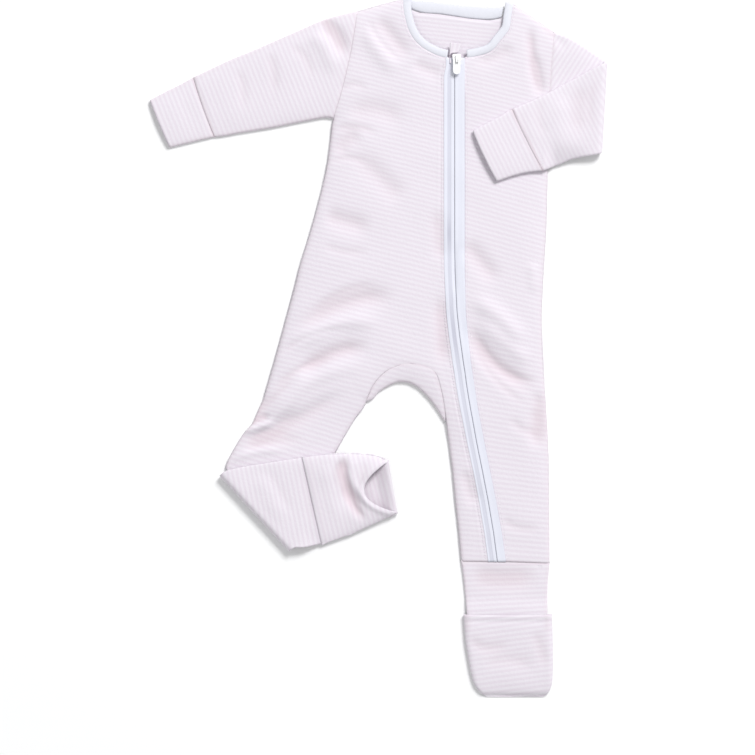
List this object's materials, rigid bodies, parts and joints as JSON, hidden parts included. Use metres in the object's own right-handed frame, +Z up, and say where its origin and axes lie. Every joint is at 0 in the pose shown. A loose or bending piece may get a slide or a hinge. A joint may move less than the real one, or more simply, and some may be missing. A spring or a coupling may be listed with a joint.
{
  "type": "footed baby sleepsuit",
  "caption": "Long-sleeved striped jersey baby sleepsuit, zipped from neck to ankle, with fold-over foot covers, laid flat with one sleeve and one leg folded.",
  "frame": {"origin": "middle of the underside of the garment's bounding box, on the surface it lies on", "axes": "+Z up from the surface, +Y along the garment towards the neck, +X towards the wearer's left"},
  "size_m": [0.4112, 0.6268, 0.0133],
  "materials": {
    "jersey": "soft cotton jersey, fine pale pink and white stripes",
    "rib_binding": "white rib, matt",
    "zip_tape": "white woven tape",
    "zip_plastic": "white moulded teeth",
    "zip_lacquer": "white lacquer, satin"
  },
  "bodies": {
    "garment": {"back": "jersey", "front_right": "jersey", "front_left": "jersey", "crotch_gusset": "jersey", "sleeve_right": "jersey", "sleeve_left": "jersey", "cuff_right": "jersey", "cuff_left": "jersey", "leg_cuff_left": "jersey", "leg_cuff_right": "jersey", "foot_cover_left": "jersey", "foot_cover_right": "jersey", "neck_binding_right": "rib_binding", "neck_binding_left": "rib_binding", "neck_binding_back": "rib_binding", "zip_tape_right": "zip_tape", "zip_tape_left": "zip_tape", "zip_chain": "zip_plastic", "zip_slider": "zip_lacquer", "zip_guard": "jersey"},
    "pull_tab": {"zip_pull": "zip_lacquer"}
  },
  "joints": [
    {"name": "pull_tab_hinge", "type": "hinge", "parent": "garment", "child": "pull_tab", "pos_m": [0.07025, 0.25901, 0.0097], "axis": [-1, 0, 0], "range_deg": [0, 150]}
  ]
}
